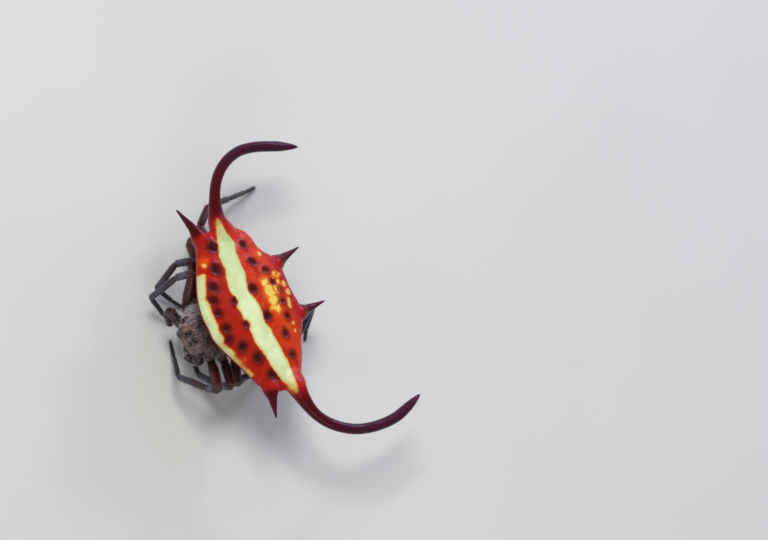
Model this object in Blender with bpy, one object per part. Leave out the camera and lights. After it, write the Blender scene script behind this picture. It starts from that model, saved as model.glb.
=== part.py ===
"""A spiny orb weaver with two long sickle horns, life size, standing on the floor.

The spider faces -Y, its left is +X and up is +Z. It is worked out in millimetres
and each finished mesh is brought to metres. The abdomen has a frame of its own,
with its origin midway between the roots of the horns and its shield level; that
frame is pitched and raised over the floor, and every other place is over the floor.
"""

import math

import bmesh
import bpy
from mathutils import Matrix, Vector

METRE = 0.001
GAP = 0.3
MERGE = 0.001
HORN_LINE_HEIGHT = 4.0
PITCH = math.radians(15.0)
BOX_MIDDLE = (0.36, 0.885)

# Abdomen, in its own frame
SHIELD_HALF = [
    (0.0, -3.75), (1.2, -3.72), (1.9, -3.45), (2.5, -3.05), (3.2, -2.55), (4.0, -2.1),
    (4.45, -1.7), (4.65, -1.15), (4.75, -0.5), (4.7, 0.35), (4.35, 0.85), (3.75, 1.3),
    (3.0, 1.72), (2.4, 2.12), (1.95, 2.5), (1.55, 2.78), (0.8, 2.75), (0.0, 2.7),
]
SHIELD_MIDDLE_Y = -0.45
RIM_Z = -0.15
DOME = 0.65
UNDERSIDE = 0.85
EDGE_THINNING = 0.35
REAR_LEAN = 0.07
SQUARENESS = 2.7
BELLY_TOP = (0.0, 1.1, -0.55)
BELLY_END = (0.0, 1.3, -2.3)
BELLY_RADII = (1.6, 1.5, 1.1, 0.65)
HORN_ROOT_X = 5.0
HORN_ROOT_RADIUS = 0.5
COLLAR = ((3.3, 0.0, -0.15), (4.4, 0.0, 0.0), (5.0, 0.0, 0.0))
COLLAR_RADII = (0.5, 0.66, 0.76, 0.74, 0.64, 0.53)
COLLAR_FLATNESS = 0.5
FRONT_SPINE_LEFT = ((3.8, -1.4, -0.15), (4.6, -1.75, -0.08), (5.82, -2.3, 0.05))
FRONT_SPINE_RIGHT = ((3.8, -1.4, -0.15), (4.95, -1.62, -0.08), (6.48, -2.28, 0.05))
REAR_SPINE = ((1.35, 1.6, -0.38), (1.5, 2.9, -0.16), (1.62, 4.42, 0.12))
FRONT_SPINE_RADII = (0.3, 0.46, 0.44, 0.25, 0.13, 0.05)
REAR_SPINE_RADII = (0.25, 0.46, 0.52, 0.28, 0.13, 0.05)

# Horns: distance outward and back from the root, in a plane that rises to the rear
HORN_RISE = 0.2
HORN_PATH_LEFT = [
    (0.94, 0.13), (1.72, 0.4), (2.4, 0.9), (2.96, 1.58), (3.37, 2.38), (3.63, 3.43),
    (3.68, 4.6), (3.47, 5.6), (3.15, 6.65),
]
HORN_PATH_RIGHT = [
    (0.97, 0.38), (1.71, 0.8), (2.35, 1.4), (2.78, 2.15), (2.97, 3.05), (2.84, 4.0),
    (2.47, 5.05), (1.85, 6.5),
]
HORN_RADIUS = 0.3
HORN_FLARE_LENGTH = 1.9
HORN_POINT_LENGTH = 1.9
HORN_STATIONS = 34

# Head and thorax
CARAPACE_FRONT_Y = -4.05
CARAPACE_REAR_Y = -1.3
CARAPACE_HALF_WIDTH = 1.55
CARAPACE_MIDDLE_Z = 2.2
CARAPACE_TOP = 0.9
CARAPACE_BOTTOM = 0.55
COXA_RADIUS = 0.27
COXA_ENDS = [(1.62, -2.98, 2.0), (1.88, -2.25, 1.95), (1.85, -1.5, 1.9), (1.5, -0.8, 1.95)]
COXA_ROOT_X = 0.7
EYE_RADIUS = 0.1
EYES = [
    (0.17, -1.0, 0.38), (0.24, -0.92, 0.72), (0.9, -0.86, 0.3), (0.95, -0.74, 0.52),
]

# Jaws, palps and spinnerets
JAW_TOP = (0.42, -3.45, 1.45)
JAW_END = (0.42, -3.4, 1.0)
JAW_RADII = (0.28, 0.31, 0.27, 0.17)
PALP_RADII = (0.25, 0.26, 0.25, 0.14)
PALP_RIGHT = [(-1.32, -3.68, 1.7), (-1.94, -3.98, 2.1), (-1.6, -4.08, 1.6), (-1.1, -3.85, 1.1)]
PALP_LEFT = [(1.25, -3.68, 1.55), (1.55, -3.68, 2.05), (1.35, -3.97, 1.8), (1.08, -3.92, 1.28)]
SPINNERET_LENGTH = 0.45
SPINNERET_RADII = (0.42, 0.36)
PEDICEL_RADIUS = 0.26
PEDICEL_ENDS = ((0.0, -0.99, 2.2), (0.0, -0.74, 2.2))

# Legs: knee, end of the patella, ends of the tibia and the metatarsus, and the foot
LEG_JOINTS = {
    "leg_right_1": [(-3.1, -2.3, 3.3), (-3.25, -3.05, 2.75), (-2.89, -4.23, 1.3),
                    (-1.75, -3.6, 0.5), (-1.2, -3.2, 0.12)],
    "leg_right_2": [(-3.72, -1.6, 2.4), (-3.95, -2.35, 2.0), (-3.2, -3.45, 0.8),
                    (-2.3, -2.75, 0.35), (-1.75, -2.25, 0.12)],
    "leg_right_3": [(-4.7, -0.8, 1.48), (-4.85, -0.15, 1.3), (-4.6, 0.9, 0.85),
                    (-4.3, 1.65, 0.4), (-4.1, 2.1, 0.12)],
    "leg_right_4": [(-5.2, -0.38, 2.6), (-6.0, 0.77, 2.25), (-5.95, 2.45, 1.45),
                    (-5.93, 4.0, 0.5), (-5.96, 4.85, 0.12)],
    "leg_left_1": [(3.15, -3.85, 3.1), (2.77, -4.2, 2.6), (1.58, -4.8, 1.32),
                   (0.75, -4.5, 0.6), (-0.3, -3.75, 0.12)],
    "leg_left_2": [(3.28, -2.85, 2.68), (3.0, -3.15, 2.08), (1.95, -3.45, 0.85),
                   (0.68, -3.15, 0.42), (-0.35, -2.95, 0.12)],
    "leg_left_3": [(3.28, -2.1, 1.82), (3.15, -1.5, 1.6), (3.2, -0.3, 1.15),
                   (3.4, 0.6, 0.4), (3.5, 1.05, 0.12)],
    "leg_left_4": [(2.9, 1.4, 2.0), (2.55, 2.1, 2.1), (1.24, 4.1, 2.0),
                   (2.25, 3.72, 0.65), (2.75, 3.62, 0.12)],
}
FEMUR_RADII = (0.26, 0.33, 0.28)
PATELLA_RADII = (0.27, 0.29, 0.27)
TIBIA_RADII = (0.25, 0.28, 0.25)
METATARSUS_RADII = (0.25, 0.25, 0.25)
TARSUS_RADII = (0.25, 0.24, 0.16)
SEGMENT_RADII = [FEMUR_RADII, PATELLA_RADII, TIBIA_RADII, METATARSUS_RADII, TARSUS_RADII]

MATERIALS = {
    "shield": ((0.52, 0.03, 0.008), 0.3),
    "horn": ((0.07, 0.004, 0.012), 0.25),
    "carapace": ((0.13, 0.08, 0.075), 0.55),
    "leg": ((0.05, 0.012, 0.014), 0.4),
}


def clear_scene():
    """Remove whatever the scene starts with."""
    for item in list(bpy.data.objects):
        bpy.data.objects.remove(item, do_unlink=True)


def make_material(name):
    """One glossy finish of the animal's cuticle."""
    colour, roughness = MATERIALS[name]
    material = bpy.data.materials.new(name)
    material.use_nodes = True
    shader = material.node_tree.nodes["Principled BSDF"]
    shader.inputs["Base Color"].default_value = (*colour, 1.0)
    shader.inputs["Roughness"].default_value = roughness
    shader.inputs["Metallic"].default_value = 0.0
    return material


def place(name, mesh, collection):
    """Put a mesh into the scene as an object."""
    item = bpy.data.objects.new(name, mesh)
    collection.objects.link(item)
    return item


def evaluated_mesh(item):
    """The item's mesh as its modifiers or its bevel give it, in world space."""
    bpy.context.view_layer.update()
    graph = bpy.context.evaluated_depsgraph_get()
    mesh = bpy.data.meshes.new_from_object(item.evaluated_get(graph))
    mesh.transform(item.matrix_world)
    return mesh


def tube(points, radii, collection, resolution=3):
    """A closed tube through the points, as thick at each as its radius says."""
    curve = bpy.data.curves.new("tube", "CURVE")
    curve.dimensions = "3D"
    curve.bevel_depth = 1.0
    curve.bevel_resolution = resolution
    curve.use_fill_caps = True
    spline = curve.splines.new("POLY")
    spline.points.add(len(points) - 1)
    for station, point, radius in zip(spline.points, points, radii):
        station.co = (*point, 1.0)
        station.radius = radius
    item = place("tube", curve, collection)
    mesh = evaluated_mesh(item)
    bpy.data.objects.remove(item, do_unlink=True)
    return place("tube", weld(mesh), collection)


def weld(mesh):
    """Join the doubled points of a mesh and turn its faces outward."""
    solid = bmesh.new()
    solid.from_mesh(mesh)
    bmesh.ops.remove_doubles(solid, verts=solid.verts, dist=MERGE)
    bmesh.ops.recalc_face_normals(solid, faces=solid.faces)
    solid.to_mesh(mesh)
    solid.free()
    return mesh


def shaped_ball(shape, segments, rings, collection):
    """A ball whose every point is moved to the place that shape gives it."""
    solid = bmesh.new()
    bmesh.ops.create_uvsphere(solid, u_segments=segments, v_segments=rings, radius=1.0)
    for corner in solid.verts:
        corner.co = shape(corner.co)
    bmesh.ops.recalc_face_normals(solid, faces=solid.faces)
    mesh = bpy.data.meshes.new("ball")
    solid.to_mesh(mesh)
    solid.free()
    return place("ball", mesh, collection)


def fused(name, pieces, collection):
    """Join closed pieces into one closed body and keep its largest surface."""
    extra = bpy.data.collections.new("pieces")
    for piece in pieces[1:]:
        collection.objects.unlink(piece)
        extra.objects.link(piece)
    bpy.context.scene.collection.children.link(extra)
    union = pieces[0].modifiers.new("union", "BOOLEAN")
    union.operation = "UNION"
    union.operand_type = "COLLECTION"
    union.collection = extra
    union.solver = "EXACT"
    mesh = evaluated_mesh(pieces[0])
    for piece in pieces:
        bpy.data.objects.remove(piece, do_unlink=True)
    bpy.data.collections.remove(extra)
    return place(name, largest_surface(mesh), collection)


def largest_surface(mesh):
    """Keep the surface with the most points, which is the outer one."""
    solid = bmesh.new()
    solid.from_mesh(mesh)
    bmesh.ops.remove_doubles(solid, verts=solid.verts, dist=MERGE)
    bmesh.ops.triangulate(solid, faces=solid.faces)
    left = set(solid.verts)
    largest = set()
    while left:
        reached = set()
        waiting = [left.pop()]
        while waiting:
            corner = waiting.pop()
            reached.add(corner)
            beside = {edge.other_vert(corner) for edge in corner.link_edges} & left
            left -= beside
            waiting.extend(beside)
        largest = max(largest, reached, key=len)
    scraps = [corner for corner in solid.verts if corner not in largest]
    bmesh.ops.delete(solid, geom=scraps, context="VERTS")
    solid.to_mesh(mesh)
    solid.free()
    return mesh


def cut_at_floor(mesh):
    """Take away what lies below the floor and close the cut with a flat."""
    solid = bmesh.new()
    solid.from_mesh(mesh)
    everything = solid.verts[:] + solid.edges[:] + solid.faces[:]
    cut = bmesh.ops.bisect_plane(
        solid, geom=everything, plane_co=(0, 0, 0), plane_no=(0, 0, 1), clear_inner=True
    )
    rim = [part for part in cut["geom_cut"] if isinstance(part, bmesh.types.BMEdge)]
    bmesh.ops.edgeloop_fill(solid, edges=rim)
    bmesh.ops.remove_doubles(solid, verts=solid.verts, dist=MERGE)
    bmesh.ops.triangulate(solid, faces=solid.faces)
    bmesh.ops.recalc_face_normals(solid, faces=solid.faces)
    solid.to_mesh(mesh)
    solid.free()


def smooth_path(points, count):
    """Evenly numbered points along a smooth curve through the given ones."""
    ends = [points[0] * 2 - points[1], *points, points[-1] * 2 - points[-2]]
    path = []
    for number in range(count):
        place_on = number / (count - 1) * (len(points) - 1)
        span = min(int(place_on), len(points) - 2)
        t = place_on - span
        a, b, c, d = ends[span:span + 4]
        bend = (a * -1 + c) * t + (a * 2 - b * 5 + c * 4 - d) * t ** 2
        path.append(b + (bend + (b * 3 - a - c * 3 + d) * t ** 3) / 2)
    return path


def shield_radius(angle):
    """How far the shield's edge is from its middle in one direction."""
    outline = [(x, y - SHIELD_MIDDLE_Y) for x, y in SHIELD_HALF]
    bearings = [math.atan2(x, -y) for x, y in outline]
    reach = [math.hypot(x, y) for x, y in outline]
    bearing = min(abs(angle), math.pi)
    for number in range(len(bearings) - 1):
        if bearing <= bearings[number + 1]:
            break
    share = (bearing - bearings[number]) / (bearings[number + 1] - bearings[number])
    return reach[number] + (reach[number + 1] - reach[number]) * share


def leaning(point):
    """Move a place behind the horns a little to the right, as the shield leans there."""
    return Vector((point.x - REAR_LEAN * max(0.0, point.y), point.y, point.z))


def shield_point(corner):
    """Move a point of the unit ball to the shield's surface."""
    spread = math.hypot(corner.x, corner.y)
    if spread < 0.0001:
        reach = 0.0
    else:
        reach = shield_radius(math.atan2(corner.x, -corner.y)) / spread
    grow = min(spread, 1.0) ** (2 / SQUARENESS)
    x = corner.x * reach * grow
    y = corner.y * reach * grow
    height = abs(corner.z) ** (2 / SQUARENESS)
    height *= DOME if corner.z > 0 else -UNDERSIDE
    height *= 1 - EDGE_THINNING * (x / HORN_ROOT_X) ** 2
    return leaning(Vector((x, SHIELD_MIDDLE_Y + y, RIM_Z + height)))


def mirrored(points, side):
    """The points on the spider's left, or the same points on its right."""
    return [Vector((point[0] * side, point[1], point[2])) for point in points]


def abdomen_frame():
    """Pitch the abdomen's own frame and lift it over the floor."""
    lift = Matrix.Translation((0.0, 0.0, HORN_LINE_HEIGHT))
    return lift @ Matrix.Rotation(-PITCH, 4, "X")


def thorn(corners, radii, side, collection, resolution=3):
    """A tapering spine along a smooth curve, as thick at each station as it is told."""
    stations = smooth_path([leaning(point) for point in mirrored(corners, side)], len(radii))
    return tube(stations, radii, collection, resolution)


def flatten_inward(mesh):
    """Press a horn's collar flat where it meets the shield and leave its end round."""
    inner = COLLAR[0][0]
    for corner in mesh.vertices:
        share = (abs(corner.co.x) - inner) / (HORN_ROOT_X - inner)
        middle = COLLAR[0][2] * (1 - share)
        press = COLLAR_FLATNESS + (1 - COLLAR_FLATNESS) * min(max(share, 0.0), 1.0) ** 4
        corner.co.z = middle + (corner.co.z - middle) * press


def make_abdomen(collection):
    """The shield with its belly, its four short spines and the collars of the horns."""
    pieces = [shaped_ball(shield_point, 60, 14, collection)]
    belly = smooth_path([Vector(BELLY_TOP), Vector(BELLY_END)], len(BELLY_RADII))
    pieces.append(tube(belly, BELLY_RADII, collection, 6))
    for side in (-1, 1):
        collar = thorn(COLLAR, COLLAR_RADII, side, collection, 4)
        flatten_inward(collar.data)
        pieces.append(collar)
        front = FRONT_SPINE_LEFT if side > 0 else FRONT_SPINE_RIGHT
        pieces.append(thorn(front, FRONT_SPINE_RADII, side, collection))
        pieces.append(thorn(REAR_SPINE, REAR_SPINE_RADII, side, collection))
    abdomen = fused("abdomen", pieces, collection)
    abdomen.data.transform(abdomen_frame())
    return abdomen


def horn_radius(run, length):
    """Wide where it leaves the collar, even along the sickle and pointed at its tip."""
    flare = max(0.0, 1 - run / HORN_FLARE_LENGTH) ** 2
    thick = HORN_RADIUS + (HORN_ROOT_RADIUS - HORN_RADIUS) * flare
    to_tip = min(1.0, (length - run) / HORN_POINT_LENGTH)
    return thick * max(0.12, math.sin(to_tip * math.pi / 2) ** 0.65)


def make_horn(name, side, path, collection):
    """One sickle, from a gap outside its collar to its tip."""
    corners = [Vector((HORN_ROOT_X + GAP, 0, 0)), Vector((HORN_ROOT_X + 2 * GAP, 0, 0))]
    for out, back in path:
        corners.append(Vector((HORN_ROOT_X + out, back, back * HORN_RISE)))
    stations = smooth_path(mirrored(corners, side), HORN_STATIONS)
    runs = [0.0]
    for before, after in zip(stations, stations[1:]):
        runs.append(runs[-1] + (after - before).length)
    radii = [horn_radius(run, runs[-1]) for run in runs]
    horn = tube(stations, radii, collection, 3)
    horn.name = name
    horn.data.transform(abdomen_frame())
    return horn


def carapace_point(corner):
    """Move a point of the unit ball to the surface of the head and thorax."""
    middle = (CARAPACE_FRONT_Y + CARAPACE_REAR_Y) / 2
    half = (CARAPACE_REAR_Y - CARAPACE_FRONT_Y) / 2
    along = corner.y
    ring = max(math.sqrt(max(0.0, 1 - along * along)), 0.0001)
    blunt = ring ** 0.62
    width = CARAPACE_HALF_WIDTH * (1 - 0.28 * max(0.0, -along - 0.1))
    top = CARAPACE_TOP * (1 - 0.28 * max(0.0, along + 0.2))
    rise = top if corner.z > 0 else CARAPACE_BOTTOM
    x = corner.x / ring * blunt * width
    z = corner.z / ring * blunt * rise
    return Vector((x, middle + along * half, CARAPACE_MIDDLE_Z + z))


def make_carapace(collection):
    """Head, thorax, sternum and the eight coxae, with an eye on each of its seats."""
    turn = Matrix.Rotation(math.pi / 2, 3, "X")
    pieces = [shaped_ball(lambda corner: carapace_point(turn @ corner), 28, 16, collection)]
    for side in (-1, 1):
        for end in COXA_ENDS:
            root = (COXA_ROOT_X, end[1] * 0.6 - 1.0, end[2] + 0.05)
            radii = (COXA_RADIUS * 1.1, COXA_RADIUS)
            pieces.append(tube(mirrored((root, end), side), radii, collection, 3))
        for look in EYES:
            seat = carapace_point(Vector((look[0] * side, look[1], look[2])).normalized())
            pieces.append(make_eye(seat, collection))
    return fused("carapace", pieces, collection)


def make_eye(seat, collection):
    """A small bead, half sunk in the head."""
    return shaped_ball(lambda corner: seat + corner * EYE_RADIUS, 10, 6, collection)


def limb_segment(start, end, radii, collection):
    """A closed spindle from joint to joint, rounded where it overlaps the next."""
    along = (end - start).normalized()
    first, middle, last = radii
    points = [
        start - along * first * 0.55, start - along * first * 0.2, start.lerp(end, 0.12),
        start.lerp(end, 0.45), start.lerp(end, 0.88), end + along * last * 0.2,
        end + along * last * 0.55,
    ]
    widths = [first * 0.55, first * 0.85, first, middle, last, last * 0.85, last * 0.55]
    return tube(points, widths, collection, 3)


def make_leg(name, coxa_end, joints, collection):
    """One leg, from a gap outside its coxa to a small flat on the floor."""
    joints = [Vector(joint) for joint in joints]
    coxa = Vector(coxa_end)
    along = (joints[0] - coxa).normalized()
    ends = [coxa + along * (GAP + FEMUR_RADII[0]), *joints]
    pieces = []
    for start, end, radii in zip(ends, ends[1:], SEGMENT_RADII):
        pieces.append(limb_segment(start, end, radii, collection))
    leg = fused(name, pieces, collection)
    cut_at_floor(leg.data)
    largest_surface(leg.data)
    return leg


def make_legs(collection):
    """The four pairs, each leg in its own stance."""
    for name, joints in LEG_JOINTS.items():
        side = 1 if "left" in name else -1
        end = COXA_ENDS[int(name[-1]) - 1]
        make_leg(name, (end[0] * side, end[1], end[2]), joints, collection)


def make_mouth_parts(collection):
    """The two jaws and the two palps."""
    for name, side in (("chelicera_left", 1), ("chelicera_right", -1)):
        top, end = mirrored((JAW_TOP, JAW_END), side)
        jaw = tube(smooth_path([top, end], len(JAW_RADII)), JAW_RADII, collection, 4)
        jaw.name = name
    for name, joints in (("pedipalp_left", PALP_LEFT), ("pedipalp_right", PALP_RIGHT)):
        joints = [Vector(joint) for joint in joints]
        pieces = []
        for number in range(len(joints) - 1):
            first, last = PALP_RADII[number:number + 2]
            radii = (first, (first + last) / 2, last)
            pieces.append(limb_segment(joints[number], joints[number + 1], radii, collection))
        fused(name, pieces, collection)


def make_spinnerets(collection):
    """The ring of spinnerets under the belly."""
    end = Vector(BELLY_END)
    along = (end - Vector(BELLY_TOP)).normalized()
    start = end + along * GAP
    ring = tube([start, start + along * SPINNERET_LENGTH], SPINNERET_RADII, collection, 4)
    ring.name = "spinnerets"
    ring.data.transform(abdomen_frame())


def make_pedicel(collection):
    """The waist between the thorax and the abdomen."""
    ends = [Vector(end) for end in PEDICEL_ENDS]
    waist = tube(ends, (PEDICEL_RADIUS, PEDICEL_RADIUS), collection, 3)
    waist.name = "pedicel"


def finish_for(name):
    """Which finish a sub-part wears."""
    if name in ("abdomen", "carapace"):
        return "shield" if name == "abdomen" else "carapace"
    return "horn" if name.startswith("horn") else "leg"


def main():
    """Build the spider and set it on the middle of its floor."""
    clear_scene()
    collection = bpy.data.collections.new("spiny_orb_weaver")
    bpy.context.scene.collection.children.link(collection)
    make_abdomen(collection)
    make_horn("horn_left", 1, HORN_PATH_LEFT, collection)
    make_horn("horn_right", -1, HORN_PATH_RIGHT, collection)
    make_spinnerets(collection)
    make_pedicel(collection)
    make_carapace(collection)
    make_mouth_parts(collection)
    make_legs(collection)
    to_middle = Matrix.Translation((-BOX_MIDDLE[0], -BOX_MIDDLE[1], 0.0))
    finishes = {name: make_material(name) for name in MATERIALS}
    for item in collection.objects:
        item.data.transform(Matrix.Scale(METRE, 4) @ to_middle)
        item.data.name = item.name
        item.data.materials.clear()
        item.data.materials.append(finishes[finish_for(item.name)])
        item.data.shade_smooth()
        item.data.set_sharp_from_angle(angle=math.radians(40.0))


main()
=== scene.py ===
"""Looks of a spiny orb weaver with two long sickle horns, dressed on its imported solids.

Pieces are modelled in millimetres, over the floor or in the level frame of the shield,
and brought to the frame's metres at the end, each with its place in its mesh.
"""

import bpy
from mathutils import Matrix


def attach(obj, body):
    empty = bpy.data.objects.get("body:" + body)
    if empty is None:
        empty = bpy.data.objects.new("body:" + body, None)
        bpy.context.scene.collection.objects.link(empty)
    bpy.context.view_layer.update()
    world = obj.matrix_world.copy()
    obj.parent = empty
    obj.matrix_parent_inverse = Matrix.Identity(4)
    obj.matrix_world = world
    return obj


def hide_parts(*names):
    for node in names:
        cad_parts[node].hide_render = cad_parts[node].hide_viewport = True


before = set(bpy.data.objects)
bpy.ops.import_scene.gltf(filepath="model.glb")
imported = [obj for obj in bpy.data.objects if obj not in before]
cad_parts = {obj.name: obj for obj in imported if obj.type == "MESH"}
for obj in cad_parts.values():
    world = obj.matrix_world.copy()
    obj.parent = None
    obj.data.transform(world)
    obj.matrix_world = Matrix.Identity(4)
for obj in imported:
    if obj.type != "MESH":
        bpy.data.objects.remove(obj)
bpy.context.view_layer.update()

import math
import random

import bmesh
import bpy
import numpy as np
from mathutils import Matrix, Vector, noise

bl_info = {
    "name": "Spiny Orb Weaver",
    "version": (1, 0, 0),
    "blender": (4, 5, 0),
    "location": "View3D > Sidebar > Spider",
    "description": "Models a life-size spiny orb weaver over its packed solids",
    "category": "Add Mesh",
}

METRE = 0.001
BOX_MIDDLE = Vector((0.36, 0.885, 0.0))
HORN_LINE_HEIGHT = 4.0
SHIELD_PITCH = math.radians(15.0)
BODY_FRAME = Matrix.Scale(METRE, 4) @ Matrix.Translation(-BOX_MIDDLE)
SHIELD_FRAME = (
    BODY_FRAME
    @ Matrix.Translation((0.0, 0.0, HORN_LINE_HEIGHT))
    @ Matrix.Rotation(-SHIELD_PITCH, 4, "X")
)
SHIELD_VOXEL = 0.048
HEAD_VOXEL = 0.04
FRONT_TUCK = 0.13
CORNER_TUCK = 0.2
REAR_SWELL = 0.36

# Horns and short spines, in the shield's frame, on the left (1) and the right (-1)
HORN_ROOT_X = 5.0
HORN_RISE = 0.2
HORN_RADIUS = 0.3
HORN_ROOT_RADIUS = 0.52
HORN_FLARE_LENGTH = 1.9
HORN_POINT_LENGTH = 1.9
HORN_PATHS = {
    1: ((0.94, 0.13), (1.72, 0.4), (2.4, 0.9), (2.96, 1.58), (3.37, 2.38), (3.63, 3.43),
        (3.68, 4.6), (3.47, 5.6), (3.15, 6.65)),
    -1: ((0.97, 0.38), (1.71, 0.8), (2.35, 1.4), (2.78, 2.15), (2.97, 3.05), (2.84, 4.0),
         (2.47, 5.05), (1.85, 6.5)),
}
REAR_LEAN = 0.07
FRONT_SPINES = {
    1: ((3.8, -1.4, -0.15), (4.6, -1.75, -0.08), (5.82, -2.3, 0.05)),
    -1: ((3.8, -1.4, -0.15), (4.95, -1.62, -0.08), (6.48, -2.28, 0.05)),
}
REAR_SPINE = ((1.35, 1.6, -0.38), (1.5, 2.9, -0.16), (1.62, 4.42, 0.12))
FRONT_SPINE_RADII = (0.3, 0.46, 0.44, 0.25, 0.13, 0.03)
REAR_SPINE_RADII = (0.25, 0.46, 0.52, 0.28, 0.13, 0.03)
BELLY_TOP = Vector((0.0, 1.1, -0.55))
BELLY_END = Vector((0.0, 1.3, -2.3))

# Markings of the shield, from above in its own frame
CREAM_BAND = (
    (-5.15, -0.33), (-4.67, -0.52), (-4.24, -0.65), (-3.74, -0.89), (-3.23, -1.2), (-2.8, -1.25),
    (-2.41, -1.3), (-1.93, -1.55), (-1.53, -1.66), (-1.17, -1.68), (-0.92, -1.54), (-0.6, -1.56),
    (-0.36, -1.8), (-0.13, -1.69), (0.09, -1.71), (0.35, -1.77), (0.48, -1.53), (0.74, -1.5),
    (0.98, -1.64), (1.2, -1.64), (1.55, -1.64), (1.94, -1.57), (2.39, -1.42), (2.83, -1.31),
    (3.19, -1.26), (3.63, -1.09), (4.0, -0.96), (4.33, -0.75), (4.67, -0.6), (5.05, -0.47),
    (5.08, -0.36), (4.93, -0.32), (4.43, -0.22), (3.96, -0.07), (3.52, 0.02), (3.0, -0.08),
    (2.45, -0.16), (1.89, -0.24), (1.43, -0.27), (1.01, -0.44), (0.61, -0.41), (0.21, -0.27),
    (-0.22, -0.33), (-0.56, -0.43), (-0.92, -0.55), (-1.35, -0.4), (-1.91, -0.16), (-2.24, -0.17),
    (-2.73, -0.05), (-3.15, 0.01), (-3.54, 0.25), (-3.8, 0.21), (-4.19, -0.03), (-4.6, -0.13),
    (-5.1, -0.18),
)
FRONT_BAND = (
    (-2.85, -2.94), (-2.75, -3.06), (-2.3, -3.36), (-1.81, -3.66), (-1.61, -3.74), (-1.08, -3.84),
    (-0.46, -3.9), (0.16, -3.92), (0.7, -3.92), (1.18, -3.87), (1.72, -3.69), (2.22, -3.39),
    (2.6, -3.15), (2.92, -2.93), (3.2, -2.72), (3.26, -2.42), (3.01, -2.48), (2.63, -2.69),
    (2.19, -2.86), (1.97, -3.03), (1.66, -3.05), (1.38, -3.19), (1.05, -3.41), (0.77, -3.35),
    (0.44, -3.38), (-0.01, -3.31), (-0.31, -3.29), (-0.64, -3.32), (-0.99, -3.22), (-1.48, -3.22),
    (-1.74, -3.08), (-2.25, -2.81), (-2.71, -2.52),
)
PITS = (
    (-3.9, -1.25, 0.28), (-3.75, -1.08, 0.2), (-2.71, -1.82, 0.27), (-1.88, -2.52, 0.24),
    (-1.25, -2.93, 0.22), (-0.56, -3.01, 0.2), (0.36, -2.97, 0.19), (0.97, -3.07, 0.19),
    (1.6, -2.5, 0.23), (2.52, -1.86, 0.26), (3.62, -1.4, 0.22), (3.8, -1.22, 0.17),
    (-0.74, -1.7, 0.17), (0.64, -1.68, 0.17), (-0.95, -0.18, 0.23), (0.7, -0.1, 0.24),
    (-3.3, 0.74, 0.19), (-2.32, 0.62, 0.16), (-2.2, 0.76, 0.15), (-1.6, 1.22, 0.12),
    (-1.5, 1.38, 0.11), (-0.78, 1.3, 0.15), (-0.3, 1.54, 0.1), (0.24, 1.25, 0.11),
    (0.34, 1.38, 0.11), (1.16, 1.23, 0.14), (1.98, 0.59, 0.18), (3.14, 0.49, 0.17),
)
YELLOW_SPOTS = (
    (-1.13, 1.66, 0.15), (-1.02, 1.86, 0.13), (-0.78, 1.74, 0.15), (-0.92, 0.72, 0.18),
    (-1.05, 0.86, 0.13), (-0.5, 0.78, 0.31), (-0.27, 1.02, 0.15), (-0.42, 1.33, 0.13),
    (0.1, 0.8, 0.26), (0.05, 1.03, 0.15), (0.64, 0.83, 0.21), (0.46, 0.58, 0.14),
)
RIM_SPOTS = (
    (-0.49, 2.1, 0.16), (0.01, 2.12, 0.17), (0.4, 1.88, 0.13), (0.56, 1.82, 0.13),
    (0.72, 1.73, 0.12), (1.65, 1.46, 0.12), (2.06, 1.39, 0.11), (-2.51, 1.5, 0.14),
    (-3.15, -2.3, 0.12),
)
ORANGE_SPOTS = (
    (-2.45, 1.25, 0.3), (-1.55, 1.05, 0.3), (-1.2, 1.0, 0.3), (1.2, 0.95, 0.3), (1.75, 1.0, 0.3),
    (0.9, 0.6, 0.25), (-3.3, 1.0, 0.2), (-0.3, 0.6, 0.35), (-3.3, -2.2, 0.3), (2.3, -2.65, 0.12),
    (-3.05, -1.45, 0.05), (-2.3, -2.15, 0.07), (-1.55, -2.7, 0.05), (1.25, -2.8, 0.04),
    (2.0, -2.25, 0.04), (0.0, -0.05, 0.1), (-0.75, 1.0, 0.3), (-0.2, 1.3, 0.25),
)

# Thickness of hairs, and how far their ends stay over the floor
HEAD_HAIR_RADIUS = 0.011
BRISTLE_RADIUS = 0.007
FLOOR_GAP = 0.02

# Camera of the photo: where it aims, how far it looks down, its roll and its field's width
CAMERA_AIM = Vector((1.21, 6.13, 7.25))
CAMERA_TILT = math.radians(62.0)
CAMERA_ROLL = (0.434, 0.9)
CAMERA_FIELD = 41.18

# Head and thorax, over the floor
HEAD_FRONT_Y = -4.05
HEAD_REAR_Y = -1.3
HEAD_HALF_WIDTH = 1.55
HEAD_MIDDLE_Z = 2.2
HEAD_TOP = 0.9
HEAD_BOTTOM = 0.55
GROOVES_FROM_Z = 2.35
EYE_CLEARANCE = 0.988
EYE_LOOKS = ((0.17, -1.0, 0.38), (0.24, -0.92, 0.72), (0.9, -0.86, 0.3), (0.95, -0.74, 0.52))
COXA_ENDS = ((1.62, -2.98, 2.0), (1.88, -2.25, 1.95), (1.85, -1.5, 1.9), (1.5, -0.8, 1.95))
COXA_ROOT_X = 0.7

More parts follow.
